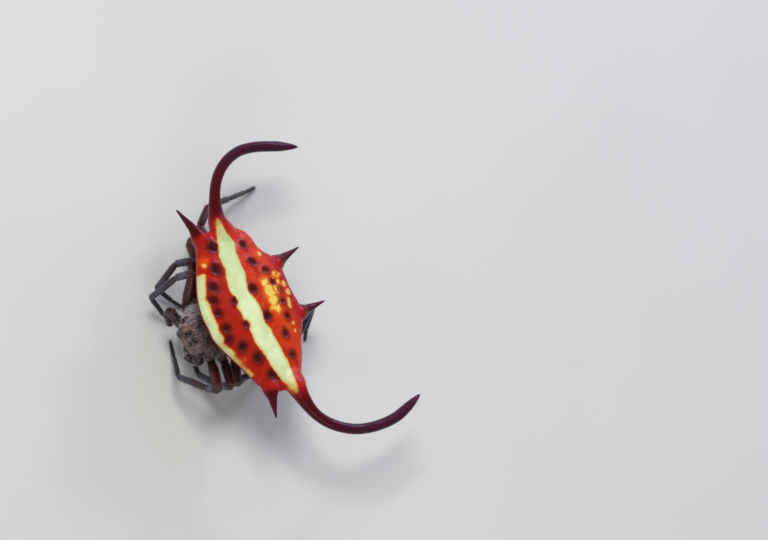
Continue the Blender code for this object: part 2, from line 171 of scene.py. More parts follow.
# Knee, end of the patella, ends of the tibia and the metatarsus, and the foot
LEG_JOINTS = {
    "leg_right_1": ((-3.1, -2.3, 3.3), (-3.25, -3.05, 2.75), (-2.89, -4.23, 1.3),
                    (-1.75, -3.6, 0.5), (-1.2, -3.2, 0.1)),
    "leg_right_2": ((-3.72, -1.6, 2.4), (-3.95, -2.35, 2.0), (-3.2, -3.45, 0.8),
                    (-2.3, -2.75, 0.35), (-1.75, -2.25, 0.1)),
    "leg_right_3": ((-4.7, -0.8, 1.48), (-4.85, -0.15, 1.3), (-4.6, 0.9, 0.85),
                    (-4.3, 1.65, 0.4), (-4.1, 2.1, 0.1)),
    "leg_right_4": ((-5.2, -0.38, 2.6), (-6.0, 0.77, 2.25), (-5.95, 2.45, 1.45),
                    (-5.93, 4.0, 0.5), (-5.96, 4.85, 0.1)),
    "leg_left_1": ((3.15, -3.85, 3.1), (2.77, -4.2, 2.6), (1.58, -4.8, 1.32),
                   (0.6, -4.2, 0.57), (-0.3, -3.75, 0.1)),
    "leg_left_2": ((3.28, -2.85, 2.68), (3.0, -3.15, 2.08), (1.95, -3.45, 0.85),
                   (0.68, -3.15, 0.42), (-0.35, -2.95, 0.1)),
    "leg_left_3": ((3.28, -2.1, 1.82), (3.15, -1.5, 1.6), (3.2, -0.3, 1.15),
                   (3.4, 0.6, 0.4), (3.5, 1.05, 0.1)),
    "leg_left_4": ((2.9, 1.4, 2.0), (2.55, 2.1, 2.1), (1.24, 4.1, 2.0),
                   (2.25, 3.72, 0.65), (2.75, 3.62, 0.1)),
}
# The one patella that is as red as a femur, and where that red is along a leg
RED_SEGMENTS = (("leg_right_4", 1),)
RED_PLACE = 0.1
# Thickness of trochanter, femur, patella, tibia, metatarsus and tarsus
LEG_RADII = (0.22, 0.27, 0.21, 0.18, 0.13, 0.1)
# How far each segment after the trochanter bows upward, against its length
LEG_BOWS = (0.05, 0.02, 0.02, 0.02, 0.0)
PALP_JOINTS = {
    "pedipalp_right": ((-1.3, -3.75, 1.95), (-1.82, -3.88, 2.12), (-1.7, -4.0, 1.72),
                       (-1.12, -3.88, 1.25)),
    "pedipalp_left": ((1.2, -3.56, 1.95), (1.4, -3.65, 2.1), (1.15, -3.92, 1.92),
                      (0.8, -3.98, 1.55)),
}
PALP_ROOT = (0.85, -3.5, 1.85)
PALP_RADII = (0.3, 0.25, 0.2, 0.17)
JAW_PATH = ((0.38, -3.3, 1.8), (0.42, -3.46, 1.45), (0.42, -3.44, 1.15), (0.4, -3.34, 0.9))
JAW_RADII = (0.24, 0.28, 0.3, 0.31, 0.31, 0.3, 0.28, 0.25, 0.2, 0.1)
FANG_PATH = ((0.42, -3.44, 0.98), (0.36, -3.42, 0.84), (0.2, -3.36, 0.84), (0.08, -3.3, 0.92))


def linear(hex_colour):
    """The linear values of an sRGB hex colour."""
    values = [int(hex_colour[start:start + 2], 16) / 255 for start in (1, 3, 5)]
    return tuple(v / 12.92 if v <= 0.04045 else ((v + 0.055) / 1.055) ** 2.4 for v in values)


def add_node(tree, kind, links=None, **settings):
    """Add one node, set its sockets and properties by name, and link its inputs."""
    node = tree.nodes.new("ShaderNode" + kind)
    for name, value in settings.items():
        if name.startswith("_"):
            setattr(node, name[1:], value)
        else:
            node.inputs[int(name[1:])].default_value = value
    for socket, source in (links or {}).items():
        tree.links.new(source, node.inputs[socket])
    return node


def set_ramp(node, stops):
    """Give a colour ramp its stops, each a place and a hex colour."""
    ramp = node.color_ramp
    while len(ramp.elements) < len(stops):
        ramp.elements.new(0.5)
    for element, (position, colour) in zip(ramp.elements, stops):
        element.position = position
        element.color = (*linear(colour), 1.0)


def new_material(name, roughness, ior=1.55, coat=0.0, coat_roughness=0.1):
    """An empty finish with the values that are the same all over it."""
    material = bpy.data.materials.new(name)
    material.use_nodes = True
    shader = material.node_tree.nodes["Principled BSDF"]
    shader.inputs["Roughness"].default_value = roughness
    shader.inputs["IOR"].default_value = ior
    shader.inputs["Coat Weight"].default_value = coat
    shader.inputs["Coat Roughness"].default_value = coat_roughness
    return material, material.node_tree, shader


def attribute(tree, name):
    """The value that a piece's own attribute holds."""
    return add_node(tree, "Attribute", _attribute_name=name).outputs["Fac"]


def over(tree, share, below, above):
    """Lay one colour over another by a share."""
    mix = add_node(tree, "Mix", _data_type="RGBA")
    tree.links.new(share, mix.inputs["Factor"])
    for socket, colour in ((6, below), (7, above)):
        if isinstance(colour, str):
            mix.inputs[socket].default_value = (*linear(colour), 1.0)
        else:
            tree.links.new(colour, mix.inputs[socket])
    return mix.outputs[2]


def step(tree, value, low, high):
    """A smooth step of a value from 0 at low to 1 at high."""
    node = add_node(tree, "MapRange", {0: value}, _interpolation_type="SMOOTHSTEP",
                    i1=low, i2=high)
    return node.outputs[0]


def lay(tree, value, low, high, below, above):
    """Lay one colour over another where a value goes past a smooth step."""
    return over(tree, step(tree, value, low, high), below, above)


def grain(tree, size_mm):
    """Noise over the piece's own place whose features are about size_mm across."""
    place = add_node(tree, "TexCoord").outputs["Object"]
    node = add_node(tree, "TexNoise", {"Vector": place}, i2=1 / (size_mm * METRE), i3=3.0,
                    i4=0.55)
    return node.outputs["Fac"]


def bumped(tree, shader, height, depth_mm):
    """Raise the surface by a height, with its depth in millimetres."""
    node = add_node(tree, "Bump", {"Height": height}, i0=1.0, i1=depth_mm * METRE)
    tree.links.new(node.outputs["Normal"], shader.inputs["Normal"])


def plus(tree, first, second, amount):
    """The first value plus the second one times an amount."""
    node = add_node(tree, "Math", {0: second, 2: first}, _operation="MULTIPLY_ADD",
                    i1=amount)
    return node.outputs[0]


def shield_cuticle():
    """Hard polished cuticle: a finely grained scarlet with sharp cream and dark marks."""
    colours = bpy.context.scene.spider_colours
    material, tree, shader = new_material("polished_red_cuticle", 0.25, ior=1.33)
    shader.inputs["Specular Tint"].default_value = (*linear("#E6D2EE"), 1.0)
    broad = grain(tree, 0.9)
    fine = grain(tree, 0.22)
    both = plus(tree, fine, broad, 1.0)
    wander = add_node(tree, "Math", {0: both}, _operation="SUBTRACT", i1=1.0)
    wander = wander.outputs[0]
    behind = plus(tree, attribute(tree, "behind"), wander, 0.8)
    red = lay(tree, behind, 0.3, 0.75, colours.scarlet, colours.orange)
    red = lay(tree, fine, 0.5, 0.75, red, colours.scarlet)
    red = lay(tree, grain(tree, 0.5), 0.52, 0.72, red, "#96200A")
    red = over(tree, attribute(tree, "rim"), red, colours.crimson)
    orange = plus(tree, attribute(tree, "orange"), wander, 0.3)
    red = lay(tree, orange, -0.15, 0.2, red, "#D8480A")
    pits = plus(tree, attribute(tree, "pits"), wander, 0.12)
    red = lay(tree, pits, -0.36, 0.08, red, "#5A1004")
    cream = plus(tree, attribute(tree, "cream"), wander, 0.14)
    edged = lay(tree, cream, -0.08, 0.0, red, colours.amber)
    pale = lay(tree, broad, 0.46, 0.62, colours.cream, "#D5DFA4")
    pale = lay(tree, cream, 0.02, 0.24, "#D3CB80", pale)
    # painted shade: the pale bands turn a duller olive toward the shield's right side (negative
    # x)
    pale = over(tree, attribute(tree, "shaded"), pale, "#BFCC88")
    pale = over(tree, attribute(tree, "warm"), pale, colours.straw)
    red = lay(tree, cream, -0.02, 0.05, edged, pale)
    yellow = plus(tree, attribute(tree, "yellow"), wander, 0.5)
    edged = lay(tree, yellow, -0.22, 0.02, red, "#E07A14")
    red = lay(tree, yellow, -0.02, 0.08, edged, colours.yellow)
    dark = step(tree, pits, -0.07, 0.2)
    red = over(tree, dark, red, colours.pit)
    under = add_node(tree, "ValToRGB", {0: plus(tree, broad, fine, 0.15)})
    set_ramp(under, ((0.4, "#2A120E"), (0.55, "#5A1A10"), (0.66, "#A8661E")))
    red = over(tree, attribute(tree, "under"), red, under.outputs[0])
    along = attribute(tree, "horn")
    horn = add_node(tree, "ValToRGB", {0: along})
    set_ramp(horn, ((0.0, "#640706"), (0.25, "#4C0508"), (0.6, "#4A0E1A"), (0.85, "#401626"),
                    (1.0, "#302440")))
    along = step(tree, along, 0.0, 0.2)
    red = over(tree, along, red, horn.outputs[0])
    tree.links.new(red, shader.inputs["Base Color"])
    rough = add_node(tree, "MapRange", {0: dark}, i3=0.25, i4=0.75).outputs[0]
    tree.links.new(plus(tree, rough, along, -0.1), shader.inputs["Roughness"])
    bumped(tree, shader, plus(tree, fine, grain(tree, 0.1), 0.6), 0.02)
    return material


def hairy_cuticle(name, stops, roughness, size_mm, along=None):
    """Dull cuticle under hair: mottled, with a fine leathery grain that breaks the gloss."""
    material, tree, shader = new_material(name, roughness)
    mottle = grain(tree, size_mm)
    value = plus(tree, attribute(tree, along), mottle, 0.25) if along else mottle
    ramp = add_node(tree, "ValToRGB", {0: value})
    set_ramp(ramp, stops)
    tree.links.new(ramp.outputs[0], shader.inputs["Base Color"])
    bumped(tree, shader, grain(tree, size_mm / 5), 0.012)
    return material


def hair_material(name, low, high):
    """Fine stiff hair: thin threads, each a little darker or paler than the next."""
    material, tree, shader = new_material(name, 0.5)
    tint = lay(tree, grain(tree, 0.15), 0.35, 0.65, low, high)
    tree.links.new(tint, shader.inputs["Base Color"])
    return material


def glossy(name, colour, roughness, coat):
    """Smooth chitin with a clear polish, such as an eye's lens or a claw."""
    material, tree, shader = new_material(name, roughness, coat=coat, coat_roughness=0.03)
    tint = lay(tree, grain(tree, 0.1), 0.4, 0.6, colour, "#120C0E")
    tree.links.new(tint, shader.inputs["Base Color"])
    return material


def merged_copy(name):
    """A CAD node as a bmesh, in metres, with doubled points joined."""
    solid = bmesh.new()
    solid.from_mesh(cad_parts[name].data)
    bmesh.ops.remove_doubles(solid, verts=solid.verts, dist=METRE * 0.001)
    return solid


def sweep(solid, path, radii, sides=12, tag=None):
    """Extrude a closed tube along a path, as thick at each station as its radius says."""
    ring = bmesh.ops.create_circle(solid, segments=sides, radius=1.0)["verts"]
    edges = list({edge for corner in ring for edge in corner.link_edges})
    along = (path[1] - path[0]).normalized()
    turn = along.to_track_quat("Z", "Y")
    before = Matrix.Identity(4)
    everything = list(ring)
    for number, (point, radius) in enumerate(zip(path, radii)):
        ahead = path[min(number + 1, len(path) - 1)] - path[max(number - 1, 0)]
        turn = along.rotation_difference(ahead) @ turn
        along = ahead.normalized()
        now = Matrix.LocRotScale(point, turn, Vector((radius, radius, radius)))
        if number:
            grown = bmesh.ops.extrude_edge_only(solid, edges=edges)["geom"]
            ring = [part for part in grown if isinstance(part, bmesh.types.BMVert)]
            inside = set(ring)
            edges = [part for part in grown if isinstance(part, bmesh.types.BMEdge)
                     and part.verts[0] in inside and part.verts[1] in inside]
            everything.extend(ring)
        else:
            first = list(edges)
        bmesh.ops.transform(solid, matrix=now @ before.inverted(), verts=ring)
        before = now
        if tag:
            for corner in ring:
                corner[tag[0]] = tag[1][number]
    for loop in (first, edges):
        bmesh.ops.edgeloop_fill(solid, edges=loop)
    return everything


def smooth_path(points, count):
    """Evenly numbered points along a smooth curve through the given ones."""
    points = [Vector(point) for point in points]
    ends = [points[0] * 2 - points[1], *points, points[-1] * 2 - points[-2]]
    path = []
    for number in range(count):
        place_on = number / (count - 1) * (len(points) - 1)
        span = min(int(place_on), len(points) - 2)
        t = place_on - span
        a, b, c, d = ends[span:span + 4]
        bend = (c - a) * t + (a * 2 - b * 5 + c * 4 - d) * t ** 2
        path.append(b + (bend + (b * 3 - a - c * 3 + d) * t ** 3) / 2)
    return path


def to_mesh(name, solid):
    """A bmesh as a mesh of this name."""
    mesh = bpy.data.meshes.new(name)
    solid.to_mesh(mesh)
    solid.free()
    return mesh


def add_object(name, data):
    """A new object in the scene."""
    item = bpy.data.objects.new(name, data)
    bpy.context.scene.collection.objects.link(item)
    return item


def finish_piece(name, solid, materials, nodes=(), to_metres=BODY_FRAME):
    """Turn a bmesh into a smooth piece of the spider in the frame's metres."""
    bmesh.ops.transform(solid, matrix=to_metres, verts=solid.verts)
    bmesh.ops.recalc_face_normals(solid, faces=solid.faces)
    return finish_mesh(to_mesh(name, solid), materials, nodes)


def finish_mesh(mesh, materials, nodes=()):
    """Put a finished mesh into the scene, riding on the spider's one body."""
    mesh.shade_smooth()
    for material in materials:
        mesh.materials.append(material)
    piece = add_object(mesh.name, mesh)
    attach(piece, "root")
    if nodes:
        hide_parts(*nodes)
    return piece


def remeshed(solid, voxel):
    """One closed even skin over everything in the bmesh, as a new bmesh."""
    item = add_object("skin", to_mesh("skin", solid))
    voxels = item.modifiers.new("voxels", "REMESH")
    voxels.mode = "VOXEL"
    voxels.voxel_size = voxel
    bpy.context.view_layer.update()
    graph = bpy.context.evaluated_depsgraph_get()
    skin = bmesh.new()
    skin.from_mesh(bpy.data.meshes.new_from_object(item.evaluated_get(graph)))
    bpy.data.objects.remove(item, do_unlink=True)
    return skin


def calmed(skin, corners, count):
    """Smooth these corners of a skin a number of times."""
    for number in range(count):
        bmesh.ops.smooth_vert(skin, verts=corners, factor=0.5, use_axis_x=True,
                              use_axis_y=True, use_axis_z=True)


def to_segments(places, corners):
    """How far each place is from a closed outline of straight runs."""
    corners = np.array(corners)
    nearest = np.full(len(places), 1e9)
    for start, end in zip(corners, np.roll(corners, -1, axis=0)):
        run = end - start
        share = np.clip((places - start) @ run / (run @ run), 0, 1)
        gap = places - start - share[:, None] * run
        nearest = np.minimum(nearest, np.hypot(gap[:, 0], gap[:, 1]))
    return nearest


def inside_outline(places, corners):
    """Which places are inside a closed outline."""
    within = np.zeros(len(places), bool)
    for (x1, y1), (x2, y2) in zip(corners, corners[1:] + corners[:1]):
        across = (places[:, 1] < y1) != (places[:, 1] < y2)
        with np.errstate(divide="ignore", invalid="ignore"):
            reach = x1 + (places[:, 1] - y1) * (x2 - x1) / (y2 - y1)
        within ^= across & (places[:, 0] < reach)
    return within


def to_spots(places, spots):
    """How deep each place is inside the nearest of some round spots."""
    deepest = np.full(len(places), -9.0)
    for x, y, radius in spots:
        gap = np.hypot(places[:, 0] - x, places[:, 1] - y)
        deepest = np.maximum(deepest, radius - gap)
    return deepest


def smooth_curve(corners):
    """A rounder closed outline through the same corners."""
    points = [*corners, corners[0]]
    path = smooth_path([(*corner, 0.0) for corner in points], len(points) * 3)
    return [(point.x, point.y) for point in path[:-1]]


def into_outline(places, corners):
    """How deep each place is inside a closed outline that is rounded first."""
    outline = smooth_curve(corners)
    return to_segments(places, outline) * np.where(inside_outline(places, outline), 1, -1)


def store(mesh, name, values):
    """Keep one number for each point of a mesh under a name."""
    layer = mesh.attributes.new(name, "FLOAT", "POINT")
    layer.data.foreach_set("value", np.asarray(values, np.float32))


def recall(mesh, name):
    """The places or normals of all the points of a mesh, one row each."""
    values = np.empty(len(mesh.vertices) * 3, np.float32)
    mesh.vertices.foreach_get(name, values)
    return values.reshape(-1, 3)


def held(value):
    """A number kept between 0 and 1."""
    return min(max(value, 0.0), 1.0)


class SpiderSizes(bpy.types.PropertyGroup):
    """Sizes that a maker may change."""

    pit_depth: bpy.props.FloatProperty(
        name="Pit depth", description="How deep the dark pits of the shield are",
        default=0.00005, unit="LENGTH", precision=5,
    )
    leg_thickness: bpy.props.FloatProperty(
        name="Leg thickness", description="Thickness of the legs against a real one's",
        default=1.0, min=0.5, max=1.5, subtype="FACTOR",
    )
    eye_radius: bpy.props.FloatProperty(
        name="Eye radius", description="Radius of each of the eight eyes",
        default=0.0001, unit="LENGTH", precision=5,
    )
    head_hairs: bpy.props.IntProperty(
        name="Head hairs", description="How many hairs lie on the head and thorax",
        default=2600, min=0, max=6000,
    )
    leg_hairs: bpy.props.IntProperty(
        name="Leg hairs", description="How many hairs stand on each leg",
        default=300, min=0, max=2000,
    )


def colour(name, description, value):
    """A colour that a maker may change, as an sRGB hex value."""
    return bpy.props.StringProperty(name=name, description=description, default=value)


class SpiderColours(bpy.types.PropertyGroup):
    """Colours of the shield."""

    scarlet: colour("Scarlet", "Main red of the shield", "#AE2006")
    orange: colour("Orange", "Lighter red patches", "#D2360A")
    crimson: colour("Crimson", "Deep red at the rims", "#A20A18")
    cream: colour("Cream", "Pale bands", "#E3ECB4")
    yellow: colour("Yellow", "Small bright spots", "#F0CC58")
    straw: colour("Straw", "Yellower ends of the pale bands", "#D9B45C")
    amber: colour("Amber", "Soft edges of the pale marks", "#CF5E10")
    pit: colour("Pit", "Dark floor of the pits", "#360702")


def leaning(point):
    """Move a place behind the horns a little to the right, as the shield leans there."""
    return Vector((point[0] - REAR_LEAN * max(0.0, point[1]), point[1], point[2]))


def horn_radius(run, length):
    """Wide where it leaves the shield, even along the sickle and pointed at its tip."""
    flare = max(0.0, 1 - abs(run - 0.7) / HORN_FLARE_LENGTH) ** 2
    thick = HORN_RADIUS + (HORN_ROOT_RADIUS - HORN_RADIUS) * flare
    to_tip = min(1.0, (length - run) / HORN_POINT_LENGTH)
    return thick * max(0.08, math.sin(to_tip * math.pi / 2) ** 0.65)


def outgrowths():
    """The two horns and the four short spines: path, radii and where the point starts."""
    grown = []
    for side, corners in HORN_PATHS.items():
        path = [(HORN_ROOT_X - 0.7, 0.0, -0.04), (HORN_ROOT_X, 0.0, 0.0)]
        path += [(HORN_ROOT_X + out, back, back * HORN_RISE) for out, back in corners]
        path = smooth_path([(x * side, y, z) for x, y, z in path], 110)
        runs = [0.0]
        for before, after in zip(path, path[1:]):
            runs.append(runs[-1] + (after - before).length)
        grown.append((path, [horn_radius(run, runs[-1]) for run in runs], 94))
    for side, corners in FRONT_SPINES.items():
        grown.append(spine(corners, FRONT_SPINE_RADII, side))
        grown.append(spine(REAR_SPINE, REAR_SPINE_RADII, side))
    return grown


def spine(corners, radii, side):
    """One short spine: path, radii and where its point starts."""
    path = smooth_path([leaning((x * side, y, z)) for x, y, z in corners], 41)
    thick = smooth_path([(radius, 0.0, 0.0) for radius in radii], 41)
    return path, [station.x for station in thick], 22


def beside(places, path):
    """Share along a path of the station nearest to each place, its distance and number."""
    stations = np.array(path)
    off = np.full(len(places), 1e9)
    nearest = np.zeros(len(places), int)
    for number, station in enumerate(stations):
        gap = np.linalg.norm(places - station, axis=1)
        closer = gap < off
        off[closer] = gap[closer]
        nearest[closer] = number
    return nearest / (len(path) - 1), off, nearest


class SPIDER_OT_shield(bpy.types.Operator):
    """Model the abdomen with its horns and short spines as one skin"""

    bl_idname = "spider.shield"
    bl_label = "Shield"

    def execute(self, context):
        solid = merged_copy("abdomen")
        bmesh.ops.transform(solid, matrix=SHIELD_FRAME.inverted(), verts=solid.verts)
        points = outgrowths()
        for path, radii, tip in points:
            sweep(solid, path, radii, 24)
        skin = remeshed(solid, SHIELD_VOXEL)
        self.relax(skin, points)
        self.reshape(skin)
        self.carve(skin, context.scene.spider_sizes.pit_depth / METRE)
        for path, radii, tip in points:
            sharp = [radius + min(0.01, 0.01 * number - 0.035)
                     for number, radius in enumerate(radii[tip:])]
            sharp[-1] = 0.012
            sweep(skin, path[tip:], sharp, 20)
        bmesh.ops.transform(skin, matrix=SHIELD_FRAME, verts=skin.verts)
        bmesh.ops.recalc_face_normals(skin, faces=skin.faces)
        mesh = to_mesh("shield_skin", skin)
        self.mark(mesh, points)
        nodes = ("abdomen", "horn_left", "horn_right")
        finish_mesh(mesh, [shield_cuticle()], nodes)
        return {"FINISHED"}

    def relax(self, skin, points):
        """Smooth the skin a little everywhere, and the shield until no facet is left."""
        corners = list(skin.verts)
        places = np.array([corner.co for corner in corners])
        clear = np.abs(places[:, 0]) < HORN_ROOT_X - 0.5
        for path, radii, tip in points:
            share, off, nearest = beside(places, path)
            clear &= off > np.array(radii)[nearest] + 0.25
        calm = [corner for corner, far in zip(corners, clear) if far]
        roots = [corner for corner in corners
                 if 4.0 < abs(corner.co.x) < HORN_ROOT_X + 0.6 and corner.co.y > -0.75]
        for count, moved in ((4, corners), (45, calm), (25, roots)):
            calmed(skin, moved, count)

    def reshape(self, skin):
        """Pull the front rim in a little, and let the rim swell behind the right horn."""
        for corner in skin.verts:
            x, y, z = corner.co
            corner.co.y += FRONT_TUCK * held((-y - 2.7) / 0.8)
            tuck = math.sin(math.pi * held((x - 0.6) / 3.1))
            corner.co.y += CORNER_TUCK * tuck * held(-y - 1.8)
            swell = math.sin(math.pi * held((x + 5.3) / 2.5))
            corner.co.y += REAR_SWELL * swell * held((y - 0.35) / 0.7)

    def carve(self, skin, depth):
        """Sink the pits, swell the shield gently between them and fold the belly."""
        corners = list(skin.verts)
        places = np.array([corner.co for corner in corners])
        pits = to_spots(places[:, :2], PITS)
        cream = to_segments(places[:, :2], CREAM_BAND)
        within = inside_outline(places[:, :2], CREAM_BAND)
        for corner, pit, gap, pale in zip(corners, pits, cream, within):
            if abs(corner.co.x) > 5.0:
                continue
            if corner.normal.z > 0.2:
                sunk = held((pit + 0.06) / 0.16)
                rim = math.exp(-((pit + 0.1) / 0.07) ** 2) * 0.25
                height = depth * (rim - sunk * sunk * (3 - 2 * sunk))
                height += min(gap, 0.2) * 0.1 * pale
                height += 0.02 * noise.noise(corner.co * 2.2)
            else:
                height = self.fold(corner.co)
            corner.co += corner.normal * height

    def fold(self, place):
        """Height of the soft folds of the underside, which run round the belly."""
        if place.z > -0.75:
            return 0.0
        out = math.hypot(place.x, place.y - 1.2)
        ring = math.sin(out * 11.0 + noise.noise(place * 1.5) * 3.0)
        ribs = math.sin(math.atan2(place.x, place.y - 1.2) * 22.0)
        deep = min(1.0, (-place.z - 0.75) / 0.3)
        return deep * (0.022 * ring + 0.014 * ribs)

    def mark(self, mesh, points):
        """Store where the shield's marks lie, as distances that the finish reads, and where shade
        is painted on the pale bands.
        """
        back = np.array(SHIELD_FRAME.inverted())
        places = recall(mesh, "co") @ back[:3, :3].T + back[:3, 3]
        normals = recall(mesh, "normal") @ np.array(SHIELD_FRAME.to_3x3()) / METRE
        flat = places[:, :2]
        upward = np.clip(normals[:, 2] * 4 + 0.6, 0, 1)
        cream = into_outline(flat, CREAM_BAND)
        front = into_outline(flat, FRONT_BAND)
        rim_spots = to_spots(flat, RIM_SPOTS)
        warm = np.clip((np.abs(flat[:, 0]) - 4.1) / 1.0, 0, 1)
        warm = np.where(front > -0.1, np.clip((np.abs(flat[:, 0] + 0.3) - 2.1) / 0.9, 0, 1), warm)
        store(mesh, "warm", np.where(rim_spots > -0.1, 0.9, warm))
        cream = np.maximum(np.maximum(cream, front), rim_spots)
        store(mesh, "cream", np.where(upward > 0.02, cream, -1))
        for name, spots, least in (("pits", PITS, 0.5), ("yellow", YELLOW_SPOTS, 0.1),
                                   ("orange", ORANGE_SPOTS, 0.1)):
            store(mesh, name, np.where(upward > least, to_spots(flat, spots), -1))
        out = np.abs(places[:, 0])
        rim = np.clip((out - 3.6) / 1.8, 0, 1)
        horn = np.zeros(len(places))
        for number, (path, radii, tip) in enumerate(points):
            share, off, nearest = beside(places, path)
            on = np.clip((np.array(radii)[nearest] + 0.14 - off) / 0.08, 0, 1)
            if number < 2:
                worn = np.clip(share * 1.7 - 0.1, 0, 0.85)
            else:
                worn = np.clip(share * 1.5 - 0.55, 0, 1)
                rim = np.maximum(rim, on * np.clip(share * 3 - 0.6, 0, 1))
            horn = np.maximum(horn, on * worn)
        rim = np.maximum(rim, np.clip((flat[:, 1] - 1.7) / 0.5, 0, 0.85))
        rim = np.maximum(rim, 1 - upward)
        store(mesh, "horn", horn)
        # painted shade over the pale bands, growing toward the right side (negative x)
        store(mesh, "shaded", np.clip((-flat[:, 0] - 0.5) / 4.0, 0, 0.8))
        store(mesh, "behind", np.clip((flat[:, 1] + 2.2) / 3.0, 0, 1))
        store(mesh, "rim", rim)
        beneath = np.clip((-places[:, 2] - 0.45) / 0.35, 0, 1) * (1 - upward)
        store(mesh, "under", beneath * np.clip((4.6 - out) / 0.6, 0, 1))


def head_point(corner):
    """Move a point of the unit ball to the surface of the head and thorax."""
    middle = (HEAD_FRONT_Y + HEAD_REAR_Y) / 2
    half = (HEAD_REAR_Y - HEAD_FRONT_Y) / 2
    along = corner.y
    ring = max(math.sqrt(max(0.0, 1 - along * along)), 0.0001)
    blunt = ring ** 0.62
    width = HEAD_HALF_WIDTH * (1 - 0.28 * max(0.0, -along - 0.1))
    top = HEAD_TOP * (1 - 0.28 * max(0.0, along + 0.2))
    rise = top if corner.z > 0 else HEAD_BOTTOM
    x = corner.x / ring * blunt * width
    z = corner.z / ring * blunt * rise
    return Vector((x, middle + along * half, HEAD_MIDDLE_Z + z))


def head_relief(place):
    """Depth of the grooves that part the head from the thorax, and of the thorax's rays."""
    behind = place.y + 2.2 + abs(place.x) * 0.75
    groove = -0.09 * math.exp(-(behind / 0.14) ** 2)
    dip = -0.12 * math.exp(-((place.x / 0.1) ** 2 + ((place.y + 1.85) / 0.25) ** 2))
    bearing = math.atan2(place.x, place.y + 1.9)
    rays = 0.02 * math.cos(bearing * 8) * (1 if behind > 0.15 else 0)
    brow = 0.05 * math.exp(-((place.x / 0.35) ** 2 + ((place.z - 2.75) / 0.3) ** 2))
    return groove + dip + rays + (brow if place.y < -3.5 else 0.0)


class SPIDER_OT_head(bpy.types.Operator):
    """Model the head and thorax with the eight coxae and the waist as one skin"""

    bl_idname = "spider.head"
    bl_label = "Head and thorax"

    def execute(self, context):
        solid = bmesh.new()
        bmesh.ops.create_uvsphere(solid, u_segments=64, v_segments=40, radius=1.0)
        bmesh.ops.rotate(solid, matrix=Matrix.Rotation(math.pi / 2, 3, "X"),
                         verts=solid.verts)
        for corner in solid.verts:
            corner.co = head_point(corner.co)
        for side in (-1, 1):
            for x, y, z in COXA_ENDS:
                root = Vector((COXA_ROOT_X * side, y * 0.6 - 1.0, z + 0.02))
                end = Vector((x * side, y, z))
                path = [root.lerp(end, share) for share in (0, 0.3, 0.6, 0.85, 0.97, 1)]
                sweep(solid, path, (0.2, 0.27, 0.3, 0.29, 0.24, 0.16), 20)
        waist = smooth_path(((0, -1.6, 2.2), (0, -1.1, 2.18), (0, -0.3, 2.35)), 8)
        sweep(solid, waist, (0.4, 0.34, 0.27, 0.23, 0.22, 0.24, 0.3, 0.36), 20)
        skin = remeshed(solid, HEAD_VOXEL)
        calmed(skin, skin.verts, 4)
        for corner in skin.verts:
            if corner.normal.z > 0.1 and corner.co.z > GROOVES_FROM_Z:
                corner.co += corner.normal * head_relief(corner.co)
        stops = ((0.38, "#2E1B18"), (0.5, "#5E3E37"), (0.62, "#84625A"))
        finish = hairy_cuticle("felted_brown_cuticle", stops, 0.5, 0.5)
        finish_piece("head_skin", skin, [finish],
                     ("carapace", "pedicel"))
        return {"FINISHED"}


def eye_bearings():
    """The ways in which the eight eyes look, on both sides."""
    return [Vector((x * side, y, z)).normalized() for side in (-1, 1) for x, y, z in EYE_LOOKS]


class SPIDER_OT_eyes(bpy.types.Operator):
    """Seat the eight eyes in two rows on the front of the head"""

    bl_idname = "spider.eyes"
    bl_label = "Eyes"

    def execute(self, context):
        radius = context.scene.spider_sizes.eye_radius / METRE
        solid = bmesh.new()
        sockets = bmesh.new()
        for out in eye_bearings():
            seat = head_point(out)
            place = Matrix.Translation(seat + out * radius * 0.3)
            bmesh.ops.create_uvsphere(solid, u_segments=24, v_segments=16, radius=radius,
                                      matrix=place)
            turn = out.to_track_quat("Z", "Y").to_matrix().to_4x4()
            base = Matrix.Translation(seat - out * radius * 0.25) @ turn
            bmesh.ops.create_cone(sockets, cap_ends=True, segments=24, radius1=radius * 1.7,
                                  radius2=radius * 1.12, depth=radius * 0.9, matrix=base)
        finish_piece("eyes", solid, [glossy("black_lens", "#050405", 0.06, 1.0)])
        rims = [glossy("dark_eye_rim", "#2A1714", 0.35, 0.2)]
        finish_piece("eye_rims", sockets, rims)
        return {"FINISHED"}


def limb_ends(name):
    """Where the segments of a leg or a palp end, from the body to its foot."""
    root, joints = PALP_ROOT, PALP_JOINTS.get(name)
    if joints is None:
        root, joints = COXA_ENDS[int(name[-1]) - 1], LEG_JOINTS[name]
    side = 1 if "left" in name else -1
    return [Vector((root[0] * side, *root[1:])), *[Vector(joint) for joint in joints]]


def segment(solid, start, end, radius, tag, bow=0.03, overlap=0.35):
    """One limb segment: a narrow neck, a swelling and a bulge before the next joint."""
    start = start - (end - start).normalized() * radius * overlap
    profile = ((0.0, 0.5), (0.03, 0.72), (0.09, 0.9), (0.2, 1.02), (0.4, 1.06), (0.62, 1.0),
               (0.8, 0.96), (0.9, 1.0), (0.96, 0.96), (1.0, 0.74), (1.03, 0.4))
    layer, first, last = tag
    length = (end - start).length
    path = []
    for share, width in profile:
        lift = math.sin(held(share) * math.pi) * bow * length
        path.append(start.lerp(end, share) + Vector((0, 0, lift)))
    radii = [radius * width for share, width in profile]
    values = [first + (last - first) * share for share, width in profile]
    sweep(solid, path, radii, 14, (layer, values))


def claws(solid, foot, ahead, layer):
    """Two curved claws at the end of a foot."""
    side = ahead.cross(Vector((0, 0, 1))).normalized()
    for turn in (-1, 1):
        root = foot + side * 0.035 * turn
        path = smooth_path((root, root + ahead * 0.08 + Vector((0, 0, 0.025)),
                            root + ahead * 0.16 + Vector((0, 0, -0.05))), 6)
        sweep(solid, path, (0.03, 0.028, 0.024, 0.018, 0.012, 0.005), 6, (layer, [1.0] * 6))


